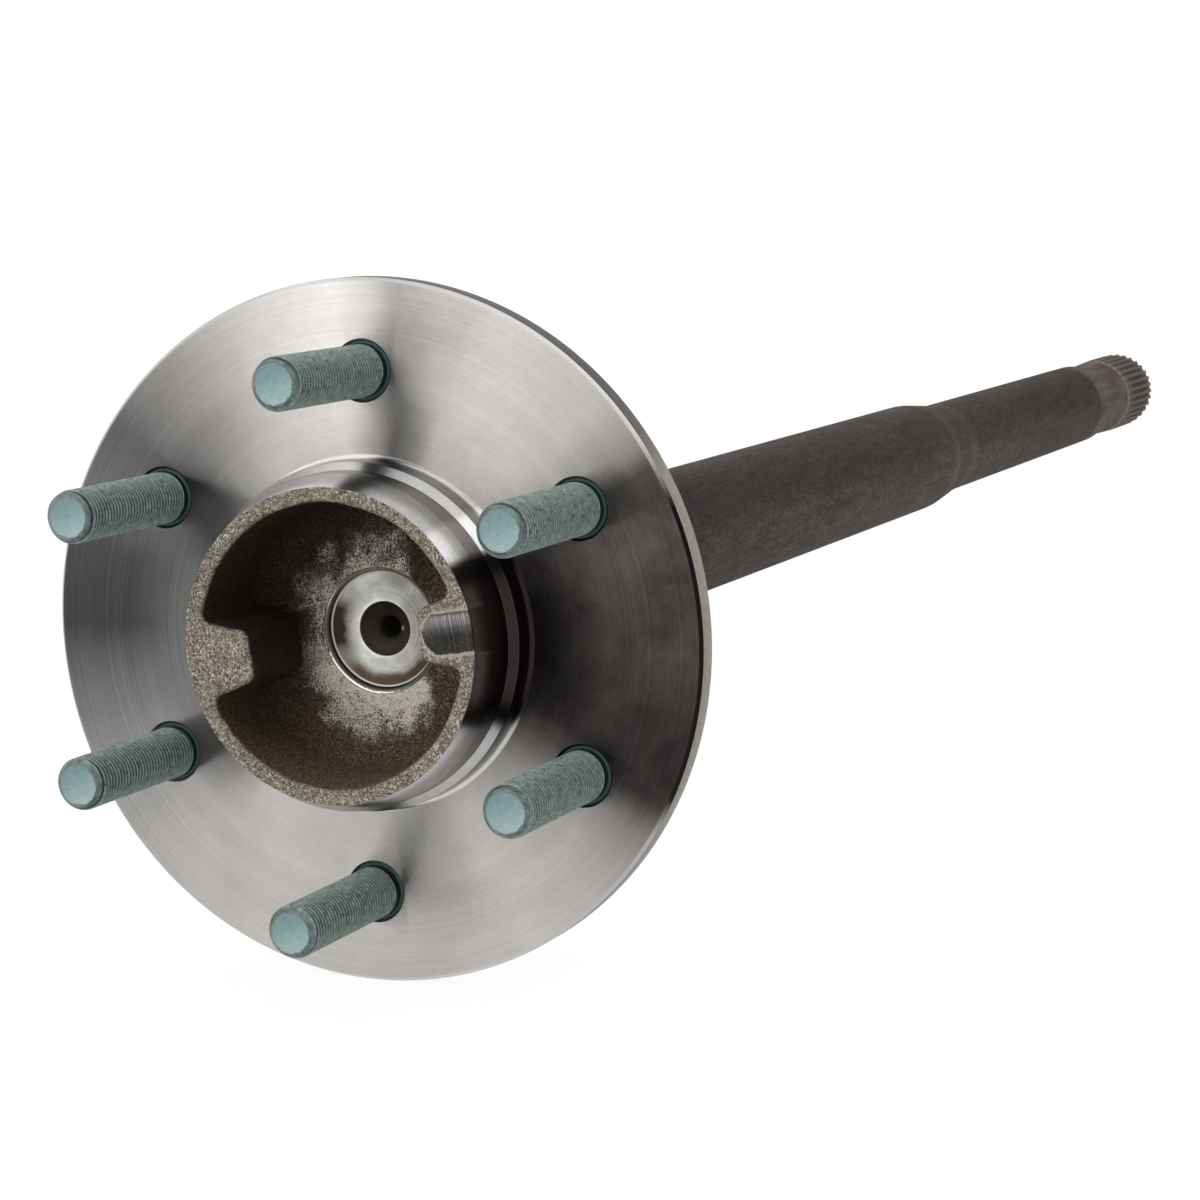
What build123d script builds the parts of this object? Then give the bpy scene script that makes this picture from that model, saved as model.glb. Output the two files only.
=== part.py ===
from build123d import *
from math import cos, pi, radians, sin, tan
import os

# Rear axle shaft: a wheel flange with pressed-in studs, a hollow hub, a bare shaft and a splined end.
# The origin is the middle of the flange's wheel face, on the shaft's axis. The shaft runs along +Y
# and the hub faces -Y, with one stud straight above the axis. Millimetres.

# Wheel flange, its edge a margin outside the stud circle
flange_margin = 24.45
flange_thickness = 8.0
flange_chamfer = 0.9

# Wheel studs, M14, pressed in from behind
stud_count = 6
stud_circle = 139.7
stud_diameter = 14.0
stud_reach = 50.1
stud_tip_chamfer = 1.7
shoulder_diameter = 15.9
shoulder_gap = 0.02
shoulder_sink = 0.3
shoulder_chamfer = 0.5
stud_hole_lead = 0.5
stud_head_diameter = 22.0
stud_head_thickness = 4.5
stud_head_chamfer = 1.0

# Hub outside: wheel pilot, with the register a step up from it and the nose tapering down to the rim
pilot_diameter = 89.0
pilot_length = 8.0
pilot_lead = 2.3
register_step = 2.05
register_length = 7.2
register_relief = 1.4
nose_length = 7.0
nose_taper = 2.9

# Hub inside: a drafted cup with a bowl floor, inside a rim
rim_wall = 4.0
cup_depth = 32.0
cup_draft = 3.0
cup_bowl_radius = 9.0
cup_lip_radius = 1.5

# Two lugs inside the cup, on one line across the hub
lug_turn = 8.2
lug_tip_width = 13.0
lug_flare = 16.5
lug_draft = 1.5
lug_corner_radius = 3.0
lug_root_radius = 2.5
long_lug_tip = 23.0
short_lug_tip = 26.2
ground_pad_depth = 0.4
ground_pad_margin = 1.0

# Machined centre of the cup: a shallow recess with a lathe centre and its drill hole
recess_diameter = 33.2
recess_depth = 1.7
recess_wall_slope = 0.8
recess_dish = 0.5
centre_mouth_diameter = 14.8
centre_angle = 60.0
centre_drill_diameter = 6.0
centre_drill_depth = 7.0

# Root and journals behind the flange, each a step up from the one inboard of it
root_length = 14.0
root_rise = 9.0
root_shoulder = 3.0
root_fillet = 6.0
root_edge_radius = 1.5
seal_step = 2.5
seal_length = 22.0
bearing_step = 1.2
bearing_length = 48.0
journal_chamfer = 1.0

# Shaft, with lengths from the flange's wheel face
shaft_diameter = 42.6
step_start = 494.0
step_end = 530.0
step_blend_radius = 60.0
step_foot_radius = 12.0
inner_shaft_diameter = 36.4
inner_shaft_end = 767.0
neck_lead = 7.0
neck_diameter = 34.2
neck_flare_start = 795.0
neck_flare_end = 826.0

# Splined end, 24/48 pitch
spline_teeth = 33
spline_module = 25.4 / 24
spline_flank_angle = 40.0
spline_depth = 1.24
spline_start = 818.0
spline_end = 862.0
hob_radius = 35.0
hob_sweep = 16.0
end_chamfer_depth = 1.6
end_chamfer_length = 3.0
end_centre_diameter = 10.0
end_drill_diameter = 4.0
end_drill_depth = 5.0
drill_point_angle = 118.0

# Sizes that follow from the ones above
flange_radius = stud_circle / 2 + flange_margin
hub_front = -(register_length + pilot_lead + pilot_length + nose_length)
pilot_radius = pilot_diameter / 2
register_radius = pilot_radius + register_step
rim_radius = pilot_radius - nose_taper
cup_mouth_radius = rim_radius - rim_wall
cup_floor = hub_front + cup_depth
cup_floor_radius = cup_mouth_radius - cup_depth * tan(radians(cup_draft))
root_end = flange_thickness + root_length
seal_end = root_end + seal_length
bearing_end = seal_end + bearing_length
shaft_radius = shaft_diameter / 2
bearing_radius = shaft_radius + bearing_step
seal_radius = bearing_radius + seal_step
root_end_radius = seal_radius + root_shoulder
root_radius = root_end_radius + root_rise
inner_radius = inner_shaft_diameter / 2
spline_radius = spline_module * (spline_teeth + 1) / 2
spline_root_radius = spline_radius - spline_depth
cone_rate = tan(radians(centre_angle / 2))
drill_rate = 1 / tan(radians(drill_point_angle / 2))


def corner_at(outline, radius, length):
    return outline.vertices().sort_by_distance((radius, length, 0))[0]


# The hollow of the hub: cup, centre recess, lathe centre and drill hole, less the two lugs.
with BuildPart() as hub_hollow:
    recess_floor = cup_floor + recess_depth
    centre_mouth = recess_floor + recess_dish
    mouth_radius = centre_mouth_diameter / 2
    drill_radius = centre_drill_diameter / 2
    drill_start = centre_mouth + (mouth_radius - drill_radius) / cone_rate
    drill_end = drill_start + centre_drill_depth
    recess_radius = recess_diameter / 2
    recess_floor_radius = recess_radius - recess_wall_slope
    with BuildSketch(Plane.XY) as hollow_outline:
        with BuildLine():
            Polyline(
                (0, hub_front),
                (cup_mouth_radius, hub_front),
                (cup_floor_radius, cup_floor),
                (recess_radius, cup_floor),
                (recess_floor_radius, recess_floor),
                (mouth_radius, centre_mouth),
                (drill_radius, drill_start),
                (drill_radius, drill_end),
                (0, drill_end + drill_radius * drill_rate),
                close=True,
            )
        make_face()
        fillet(corner_at(hollow_outline, cup_floor_radius, cup_floor), cup_bowl_radius)
    revolve(axis=Axis.Y)
    lug_growth = cup_depth * tan(radians(lug_draft))
    for tip_radius, lug_angle in ((short_lug_tip, lug_turn), (long_lug_tip, lug_turn + 180)):
        inner = tip_radius - lug_growth
        outer = cup_mouth_radius + cup_lip_radius + lug_growth
        half_tip = lug_tip_width / 2 + lug_growth
        half_root = half_tip + (outer - inner) * tan(radians(lug_flare))
        with BuildSketch(Plane.XZ.offset(-cup_floor)) as lug_outline:
            with Locations(Rotation(0, 0, lug_angle)):
                Polygon(
                    (inner, -half_tip),
                    (outer, -half_root),
                    (outer, half_root),
                    (inner, half_tip),
                    align=None,
                )
            tip_corners = lug_outline.vertices().sort_by_distance((0, cup_floor, 0))[:2]
            fillet(tip_corners, lug_corner_radius)
        extrude(amount=cup_depth, taper=lug_draft, mode=Mode.SUBTRACT)
    cup_wall = hub_hollow.faces().filter_by(GeomType.CONE).sort_by(SortBy.AREA)[-2:]
    fillet(cup_wall.edges().filter_by(GeomType.BSPLINE), lug_root_radius)


# One tooth gap of the spline, drawn across a shaft that points along -Z, with the hob's run-out.
with BuildPart() as spline_gap:
    root_half = spline_module * pi / 4 - (spline_radius - spline_module / 2 - spline_root_radius) * tan(
        radians(spline_flank_angle)
    )
    gap_top = spline_radius + 1
    top_half = root_half + (gap_top - spline_root_radius) * tan(radians(spline_flank_angle))
    with BuildSketch(Plane.XY.offset(-spline_start)) as gap_outline:
        Polygon(
            (-root_half, spline_root_radius),
            (root_half, spline_root_radius),
            (top_half, gap_top),
            (-top_half, gap_top),
            align=None,
        )
    extrude(amount=spline_start - spline_end - 1)
    hob_axis = Axis((0, spline_root_radius + hob_radius, -spline_start), (-1, 0, 0))
    revolve(gap_outline.sketch, axis=hob_axis, revolution_arc=hob_sweep)

# The forging: turned outside, hollow hub, ground pad, stud holes and spline.
with BuildPart() as axle_shaft:
    with BuildSketch(Plane.XY) as turned_outline:
        with BuildLine():
            end_cone_length = (end_centre_diameter - end_drill_diameter) / 2 / cone_rate
            end_drill_end = spline_end - end_cone_length - end_drill_depth
            pilot_end = hub_front + nose_length + pilot_length
            Polyline(
                (0, hub_front),
                (rim_radius, hub_front),
                (pilot_radius, hub_front + nose_length),
                (pilot_radius, pilot_end),
                (register_radius, -register_length),
                (register_radius, -register_relief),
            )
            RadiusArc(
                (register_radius, -register_relief),
                (register_radius + register_relief, 0),
                -register_relief,
            )
            Polyline(
                (register_radius + register_relief, 0),
                (flange_radius - flange_chamfer, 0),
                (flange_radius, flange_chamfer),
                (flange_radius, flange_thickness - flange_chamfer),
                (flange_radius - flange_chamfer, flange_thickness),
                (root_radius, flange_thickness),
                (root_end_radius, root_end),
                (seal_radius, root_end),
                (seal_radius, seal_end - journal_chamfer),
                (seal_radius - journal_chamfer, seal_end),
                (bearing_radius, seal_end),
                (bearing_radius, bearing_end - journal_chamfer),
                (shaft_radius, bearing_end),
                (shaft_radius, step_start),
                (inner_radius, step_end),
                (inner_radius, inner_shaft_end),
                (neck_diameter / 2, inner_shaft_end + neck_lead),
                (neck_diameter / 2, neck_flare_start),
                (spline_radius, neck_flare_end),
                (spline_radius, spline_end - end_chamfer_length),
                (spline_radius - end_chamfer_depth, spline_end),
                (end_centre_diameter / 2, spline_end),
                (end_drill_diameter / 2, spline_end - end_cone_length),
                (end_drill_diameter / 2, end_drill_end),
                (0, end_drill_end - end_drill_diameter / 2 * drill_rate),
                (0, hub_front),
            )
        make_face()
        fillet(corner_at(turned_outline, root_radius, flange_thickness), root_fillet)
        fillet(corner_at(turned_outline, root_end_radius, root_end), root_edge_radius)
        fillet(corner_at(turned_outline, shaft_radius, step_start), step_blend_radius)
        fillet(corner_at(turned_outline, inner_radius, step_end), step_foot_radius)
    revolve(axis=Axis.Y)
    add(hub_hollow.part, mode=Mode.SUBTRACT)
    rim_edges = axle_shaft.edges().filter_by_position(Axis.Y, hub_front - 0.01, hub_front + 0.01)
    fillet(rim_edges.sort_by(SortBy.LENGTH)[:-1], cup_lip_radius)
    pad_start = short_lug_tip + cup_lip_radius
    pad_end = rim_radius + 1
    with BuildSketch(Plane.XZ.offset(-hub_front)):
        with Locations(Rotation(0, 0, lug_turn)):
            with Locations(((pad_start + pad_end) / 2, 0)):
                Rectangle(pad_end - pad_start, lug_tip_width - 2 * ground_pad_margin)
    extrude(amount=-ground_pad_depth, mode=Mode.SUBTRACT)
    with Locations(Plane.XZ):
        with PolarLocations(0, spline_teeth):
            add(spline_gap.part, mode=Mode.SUBTRACT)
        with PolarLocations(stud_circle / 2, stud_count, start_angle=90):
            CounterSinkHole(
                shoulder_diameter / 2 + shoulder_gap,
                shoulder_diameter / 2 + shoulder_gap + stud_hole_lead,
                depth=flange_thickness,
                counter_sink_angle=90,
            )

os.makedirs("parts", exist_ok=True)
axle_shaft.part.label = "axle_shaft"
export_step(axle_shaft.part, "parts/axle_shaft.step")

# The studs: head against the back of the flange, shoulder in the hole, thread towards the wheel.
for number in range(stud_count):
    turn = radians(90 + number * 360 / stud_count)
    seat = Plane(
        origin=(stud_circle / 2 * cos(turn), flange_thickness, stud_circle / 2 * sin(turn)),
        z_dir=(0, 1, 0),
    )
    with BuildPart() as wheel_stud:
        with BuildSketch(seat):
            Circle(stud_head_diameter / 2)
        extrude(amount=stud_head_thickness)
        chamfer(wheel_stud.edges().sort_by(Axis.Y)[-1], stud_head_chamfer)
        with BuildSketch(seat):
            Circle(shoulder_diameter / 2)
        extrude(amount=shoulder_sink - flange_thickness)
        chamfer(wheel_stud.edges().sort_by(Axis.Y)[0], shoulder_chamfer)
        with BuildSketch(seat):
            Circle(stud_diameter / 2)
        extrude(amount=-flange_thickness - stud_reach)
        chamfer(wheel_stud.edges().sort_by(Axis.Y)[0], stud_tip_chamfer)
    wheel_stud.part.label = f"wheel_stud_{number + 1}"
    export_step(wheel_stud.part, f"parts/wheel_stud_{number + 1}.step")
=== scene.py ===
import bpy, bmesh
from math import cos, hypot, pi, radians, sin, sqrt, tan
from mathutils import Matrix, Vector, noise


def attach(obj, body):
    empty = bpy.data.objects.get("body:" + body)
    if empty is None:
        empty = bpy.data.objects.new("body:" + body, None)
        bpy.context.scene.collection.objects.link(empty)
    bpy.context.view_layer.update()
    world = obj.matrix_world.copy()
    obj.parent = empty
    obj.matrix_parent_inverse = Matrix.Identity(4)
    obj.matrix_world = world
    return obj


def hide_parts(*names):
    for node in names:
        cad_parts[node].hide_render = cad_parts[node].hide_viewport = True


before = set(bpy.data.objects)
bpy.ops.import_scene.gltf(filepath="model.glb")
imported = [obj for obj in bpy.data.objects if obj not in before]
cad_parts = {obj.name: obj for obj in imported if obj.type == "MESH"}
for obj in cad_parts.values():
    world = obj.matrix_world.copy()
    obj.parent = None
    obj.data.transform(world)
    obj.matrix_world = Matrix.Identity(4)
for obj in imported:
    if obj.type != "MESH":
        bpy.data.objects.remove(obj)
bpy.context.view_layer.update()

# Rear axle shaft: the shaft runs along +Y and the hub looks along -Y.
# Settings are in millimetres where no note gives another unit.
mm = 0.001

print("camera")
camera = {
    "place": (0.38346, -0.78093, 0.12812),      # metres
    "looksAlong": (-0.37270, 0.91776, -0.13713),
    "roll": -0.99,      # degrees
    "lens": 99.2, "sensor": 36, "near": 0.02, "far": 50,
}
eye = bpy.data.objects.new("camera", bpy.data.cameras.new("camera"))
eye.data.lens = camera["lens"]
eye.data.sensor_width = camera["sensor"]
eye.data.clip_start, eye.data.clip_end = camera["near"], camera["far"]
look = Vector(camera["looksAlong"]).to_track_quat("-Z", "Y").to_matrix()
look = look @ Matrix.Rotation(radians(camera["roll"]), 3, "Z")
eye.matrix_world = Matrix.Translation(camera["place"]) @ look.to_4x4()
bpy.context.scene.collection.objects.link(eye)
bpy.context.scene.camera = eye
bpy.context.scene.view_settings.view_transform = "Standard"


# a grey or a colour, with its alpha
def asColor(tone):
    return (*tone, 1) if isinstance(tone, tuple) else (tone, tone, tone, 1)


def fillRamp(ramp, stops):
    while len(ramp.elements) < len(stops):
        ramp.elements.new(0.5)
    for element, (place, tone) in zip(ramp.elements, stops):
        element.position = place
        element.color = asColor(tone)


# A socket that does sums: each operator adds one Math node
class Shade:
    def __init__(self, tree, socket=None):
        self.tree, self.socket = tree, socket

    # any other node: its type, its settings, then the values or links of its sockets
    def node(self, kind, settings=None, sockets=None, out=0):
        made = self.tree.nodes.new(kind)
        for name, value in (settings or {}).items():
            if name == "stops":
                fillRamp(made.color_ramp, value)
            elif name == "blend":
                made.color_ramp.interpolation = value
            else:
                setattr(made, name, value)
        for name, value in (sockets or {}).items():
            if isinstance(value, Shade):
                self.tree.links.new(value.socket, made.inputs[name])
            else:
                isColor = made.inputs[name].type == "RGBA"
                made.inputs[name].default_value = asColor(value) if isColor else value
        return Shade(self.tree, made.outputs[out] if made.outputs else None)

    def math(self, operation, *values):
        return self.node("ShaderNodeMath", {"operation": operation}, dict(enumerate(values)))

    def __add__(self, other):
        return self.math("ADD", self, other)

    def __radd__(self, other):
        return self.math("ADD", other, self)

    def __sub__(self, other):
        return self.math("SUBTRACT", self, other)

    def __rsub__(self, other):
        return self.math("SUBTRACT", other, self)

    def __mul__(self, other):
        return self.math("MULTIPLY", self, other)

    def __rmul__(self, other):
        return self.math("MULTIPLY", other, self)

    def __truediv__(self, other):
        return self.math("DIVIDE", self, other)

    def __abs__(self):
        return self.math("ABSOLUTE", self)

    def least(self, other):
        return self.math("MINIMUM", self, other)

    def most(self, other):
        return self.math("MAXIMUM", self, other)

    # how far it is when this is one way and other lies square to it
    def distance(self, other):
        return self.math("SQRT", self * self + other * other)

    # 0 below low, 1 above high
    def rise(self, low, high):
        return self.node("ShaderNodeMapRange", {"interpolation_type": "SMOOTHSTEP"},
                         {"Value": self, "From Min": low, "From Max": high})

    # 1 between low and high
    def band(self, low, high, soft):
        return self.rise(low - soft, low + soft) * (1 - self.rise(high - soft, high + soft))

    # tones along this, each stop with its place
    def ramp(self, *stops, blend="LINEAR"):
        return self.node("ShaderNodeValToRGB", {"stops": stops, "blend": blend}, {"Fac": self})

    # first where this is 0, second where it is 1
    def mix(self, first, second):
        return self.node("ShaderNodeMix", {"data_type": "RGBA"}, {0: self, 6: first, 7: second}, out=2)

    def tint(self, other):
        return self.node("ShaderNodeMix", {"data_type": "RGBA", "blend_type": "MULTIPLY"},
                         {0: 1.0, 6: self, 7: other}, out=2)

    # a pattern as a swing to both sides of nought
    def swing(self, amount):
        return (self - 0.5) * amount

    # lighter and darker with a pattern
    def vary(self, pattern, amount):
        return self.tint(1 + pattern.swing(amount))

    # noise with spots of a size in millimetres
    def noise(self, size, detail=3.0, rough=0.5, warp=0.0):
        return self.node("ShaderNodeTexNoise", {}, {"Vector": self, "Scale": 1 / (size * mm),
                                                    "Detail": detail, "Roughness": rough, "Distortion": warp})

    # noise along one number, for marks that run round the shaft
    def lines(self, size, detail=2.0, rough=0.6):
        return self.node("ShaderNodeTexNoise", {"noise_dimensions": "1D"},
                         {"W": self, "Scale": 1 / size, "Detail": detail, "Roughness": rough})

    def vector(self, operation, *values):
        return self.node("ShaderNodeVectorMath", {"operation": operation}, dict(enumerate(values)))

    def bump(self, strength, depth):
        return self.node("ShaderNodeBump", {}, {"Height": self, "Strength": strength, "Distance": depth * mm})


# a material with the places that its pattern reads: place in metres, the rest in millimetres and turns
class Finish:
    def __init__(self, name):
        self.material = bpy.data.materials.new(name)
        self.material.use_nodes = True
        self.material.node_tree.nodes.clear()
        self.base = Shade(self.material.node_tree)
        self.place = self.base.node("ShaderNodeTexCoord", out="Object")
        split = self.base.node("ShaderNodeSeparateXYZ", {}, {0: self.place}).socket.node
        self.x, self.y, self.z = [Shade(self.base.tree, out) * (1 / mm) for out in split.outputs]
        self.radius = self.x.distance(self.z)
        self.turn = self.base.math("ARCTAN2", self.z, self.x) / (2 * pi) + 0.5      # 0.5 is +X, 0.75 is up

    # the normal tipped in and out along the radius, as fine turning marks do
    def turned(self, slope):
        normal = self.base.node("ShaderNodeNewGeometry", out="Normal")
        outwards = self.base.node("ShaderNodeCombineXYZ", {},
                                  {0: self.x / self.radius, 2: self.z / self.radius})
        tipped = self.base.node("ShaderNodeVectorMath", {"operation": "SCALE"}, {0: outwards, "Scale": slope})
        return self.base.vector("NORMALIZE", self.base.vector("ADD", normal, tipped))

    def shader(self, color, rough, metallic, normal, gloss=0.5):
        made = self.base.node("ShaderNodeBsdfPrincipled", {}, {
            "Base Color": color, "Roughness": rough, "Metallic": metallic, "Normal": normal,
            "Specular IOR Level": gloss})
        self.base.node("ShaderNodeOutputMaterial", {}, {"Surface": made})
        return self.material


# an arc of an outline, from one angle to another in degrees
def arc(centre, radius, start, end, steps):
    angles = [radians(start + (end - start) * i / steps) for i in range(steps + 1)]
    return [(centre[0] + radius * cos(a), centre[1] + radius * sin(a)) for a in angles]


# an outline in radius and length, in millimetres, turned round the shaft
def lathe(outline, steps):
    mesh = bmesh.new()
    verts = [mesh.verts.new((radius * mm, length * mm, 0)) for radius, length in outline]
    edges = [mesh.edges.new(pair) for pair in zip(verts, verts[1:])]
    bmesh.ops.spin(mesh, geom=verts + edges, cent=(0, 0, 0), axis=(0, 1, 0), angle=2 * pi,
                   steps=steps, use_merge=True)
    bmesh.ops.remove_doubles(mesh, verts=mesh.verts, dist=0.001 * mm)
    bmesh.ops.recalc_face_normals(mesh, faces=mesh.faces)
    return mesh


# small rounds on the edges that turn by more than an angle
def breakEdges(mesh, size, segments=2, angle=25):
    sharp = [e for e in mesh.edges if e.is_manifold and e.calc_face_angle(0) > radians(angle)]
    bmesh.ops.bevel(mesh, geom=sharp, offset=size * mm, offset_type="OFFSET", segments=segments, profile=0.5,
                    affect="EDGES", clamp_overlap=True, material=-1)


# the next ring of faces along an open edge, one new place for each vert
def growRing(mesh, ring, places):
    edges = [mesh.edges.get(pair) for pair in zip(ring, ring[1:] + ring[:1])]
    made = set(bmesh.ops.extrude_edge_only(mesh, edges=edges)["geom"])
    fresh = [next(e.other_vert(v) for e in v.link_edges if e.other_vert(v) in made) for v in ring]
    for vert, place in zip(fresh, places):
        vert.co = place
    return fresh


def toData(name, mesh):
    data = bpy.data.meshes.new(name)
    mesh.to_mesh(data)
    mesh.free()
    return data


def makePiece(name, mesh, material, node, smooth=32):
    data = toData(name, mesh)
    data.shade_smooth()
    data.set_sharp_from_angle(angle=radians(smooth))
    data.materials.append(material)
    piece = bpy.data.objects.new(name, data)
    bpy.context.scene.collection.objects.link(piece)
    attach(piece, "root")
    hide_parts(node)
    return piece


print("flange and hub")
flange = {
    "edge": 94.3, "thickness": 8.0, "chamfer": 0.9, "rounds": 0.12,
    "rim": 41.6, "front": -24.5, "pilot": 44.5, "noseEnd": -17.5, "pilotEnd": -9.5,
    "register": 46.55, "registerStart": -7.2, "relief": 1.4, "reliefSteps": 6,
    "bore": 39.6, "boreStart": 0.6, "backStart": 36.0,
    "steps": 256, "smooth": 32,
}
studs = {
    "circle": 69.85, "count": 6, "hole": 7.97, "lead": 0.5, "holeSteps": 64,
    "reach": 50.1, "major": 7.0, "minor": 6.1, "pitch": 1.5, "tip": 5.3, "turnSteps": 40,
    "crest": 0.16, "flank": 0.3,      # shares of the pitch
    "threadEnd": 0.9, "tipBack": 0.02, "runOut": 0.3, "runOutStart": 3.5, "runOutLength": 2.5,
    "shoulder": 7.95, "sink": 0.3, "shoulderChamfer": 0.5, "neck": [(6.3, 0.3), (6.2, -1.1), (5.5, -1.3)],
    "head": 11.0, "headThickness": 4.5, "headChamfer": 1.0, "steps": 48,
    "turned": 1.3,      # radians that each stud is turned on from the last
}
# the ground pad on the short lug, which runs out over the nose of the hub
pad = {"turn": 8.2, "start": 27.7, "half": 5.5, "bow": 0.12, "depth": 0.4, "noseDepth": 0.42,
       "slope": 0.6, "ragged": 0.4, "raggedSize": 1.1}


def flangeFinish():
    f = Finish("turnedSteel")
    fine = f.radius.lines(0.3, 3.0, 0.7)
    broad = f.radius.lines(5.0, 3.0, 0.55)
    fan = f.turn + f.radius.lines(9.0).swing(0.008)
    # painted reflection round the face: light above and below, dark to the sides
    outer = fan.ramp((0, 0.054), (0.045, 0.19), (0.08, 0.3), (0.13, 0.44), (0.18, 0.52), (0.28, 0.45),
                     (0.33, 0.53), (0.385, 0.38), (0.408, 0.22), (0.424, 0.055), (0.46, 0.038),
                     (0.54, 0.07), (0.583, 0.1), (0.59, 0.24), (0.62, 0.48), (0.67, 0.53), (0.705, 0.5),
                     (0.732, 0.34), (0.746, 0.58), (0.765, 0.74), (0.8, 0.58), (0.85, 0.3), (0.9, 0.115),
                     (0.93, 0.15), (0.96, 0.07), (1, 0.054))
    inner = fan.ramp((0, 0.16), (0.12, 0.2), (0.15, 0.5), (0.27, 0.42), (0.35, 0.44), (0.39, 0.28),
                     (0.415, 0.12), (0.44, 0.025), (0.48, 0.008), (0.53, 0.008), (0.57, 0.035),
                     (0.59, 0.12), (0.61, 0.42), (0.63, 0.5), (0.69, 0.46), (0.705, 0.26), (0.722, 0.11),
                     (0.74, 0.3), (0.765, 0.57), (0.82, 0.46), (0.87, 0.36), (0.895, 0.14), (0.92, 0.05),
                     (0.95, 0.13), (1, 0.16))
    steelAndPaintedReflection = f.radius.rise(50, 74).mix(inner, outer)
    # the turning marks show most in the dark sectors of the painted reflection
    right = f.turn.band(0.42, 0.585, 0.012)
    left = f.turn.ramp((0, 1), (0.1, 0.4), (0.16, 0), (0.86, 0), (0.94, 1), (1, 1))
    deeper = 0.1 + 0.4 * (left + right)
    steelAndPaintedReflection = steelAndPaintedReflection.vary(fine, deeper).vary(broad, 0.12).vary(f.radius.lines(1.1, 2.0), deeper)
    # faint stains, strongest in the painted dark reflection to the right, which is also the warmest
    stain = f.place.noise(16.0, 5.0, 0.68, 0.4) - 0.5
    specks = f.place.noise(1.2, 3.0, 0.75).rise(0.66, 0.78)
    steelAndPaintedReflection = steelAndPaintedReflection * (1 + stain * (0.3 + 1.7 * right)) + specks * right * 0.03
    warmth = right.mix(left.mix((1, 0.95, 0.905), (1, 1, 0.985)), (1, 0.89, 0.84))
    # the polished hub: painted reflection round it, and each step has its own painted level, darkest in the
    # dark reflection to the right
    hubPaintedReflection = f.turn.ramp((0, 0.2), (0.1, 0.35), (0.3, 0.52), (0.33, 0.5), (0.4, 0.4), (0.421, 0.33),
                        (0.428, 0.09), (0.445, 0.075), (0.47, 0.072), (0.57, 0.072), (0.588, 0.075),
                        (0.592, 0.6), (0.624, 0.55), (0.632, 0.34), (0.685, 0.32), (0.7, 0.26),
                        (0.72, 0.2), (0.731, 0.22), (0.739, 0.44), (0.86, 0.46), (0.93, 0.2), (1, 0.2))
    pilot = f.y.band(flange["noseEnd"] + 0.1, flange["pilotEnd"] - 0.1, 0.15)
    lead = f.y.band(flange["pilotEnd"] + 0.1, flange["registerStart"] - 0.1, 0.12)
    register = f.y.band(flange["registerStart"] + 0.1, -flange["relief"] - 0.1, 0.15)
    relief = f.y.rise(-flange["relief"] - 0.1, -flange["relief"] + 0.2)
    nose = 1 - f.y.rise(flange["noseEnd"] - 0.1, flange["noseEnd"] + 0.1)
    darkReflectionSector = f.turn.band(0.43, 0.588, 0.006)
    level = 1 - 0.33 * pilot + (0.25 - 0.85 * darkReflectionSector) * lead - 0.3 * register + (0.35 - 1.05 * darkReflectionSector) * relief
    level = level - 0.45 * darkReflectionSector * nose
    hub = hubPaintedReflection.vary(f.place.noise(2.5, 4.0, 0.6), 0.4).tint(level).vary(f.y.lines(0.4), 0.12)
    # the painted dark reflection to the right is warmer
    hub = hub.tint(darkReflectionSector.mix((1, 0.985, 0.97), (1.16, 0.94, 0.86)))
    onFace = f.radius.rise(47.6, 48.1)
    color = onFace.mix(hub, warmth.tint(steelAndPaintedReflection))
    # the rim: a dull turned edge with painted shade round it, behind a small polished bevel with a painted
    # reflection round it
    onEdge = f.radius.rise(flange["edge"] - 1.1, flange["edge"] - 0.8)
    onBack = f.y.rise(flange["thickness"] - 0.8, flange["thickness"] - 0.1)
    onBevel = 1 - f.y.rise(flange["chamfer"] - 0.05, flange["chamfer"] + 0.05)
    edgeMarksAndPaintedShade = f.turn.ramp((0, (0.2, 0.19, 0.18)), (0.3, (0.26, 0.255, 0.25)), (0.42, (0.36, 0.325, 0.29)),
                       (0.575, (0.38, 0.33, 0.285)), (0.6, (0.145, 0.122, 0.104)),
                       (0.63, (0.085, 0.073, 0.062)), (0.75, (0.09, 0.08, 0.072)), (1, (0.2, 0.19, 0.18)))
    edgeMarksAndPaintedShade = edgeMarksAndPaintedShade.vary(f.place.noise(1.6, 4.0, 0.7), 0.8).vary(f.y.lines(0.5), 0.3)
    bevelPaintedReflection = f.turn.ramp((0, 0.3), (0.3, 0.55), (0.41, 0.4), (0.43, 0.012), (0.565, 0.008), (0.595, 0.5),
                         (0.63, 0.52), (0.68, 0.45), (0.74, 0.35), (0.78, 0.5), (0.87, 0.55),
                         (0.93, 0.35), (1, 0.3))
    color = onEdge.mix(color, onBevel.mix(edgeMarksAndPaintedShade, bevelPaintedReflection))
    color = onBack.mix(color, (0.36, 0.35, 0.335))
    onDull = onEdge * (1 - onBevel) * (1 - onBack)
    random = f.base.node("ShaderNodeTexWhiteNoise", {"noise_dimensions": "1D"}, {"W": f.radius * 977})
    slope = fine.swing(0.15) + random.swing(0.6)
    rough = 0.16 + 0.08 * fine + 0.1 * (1 - onFace) + 0.3 * onDull
    return f.shader(color, rough, 1 - 0.85 * onDull, f.turned(slope * onFace), gloss=0.2)


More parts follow.
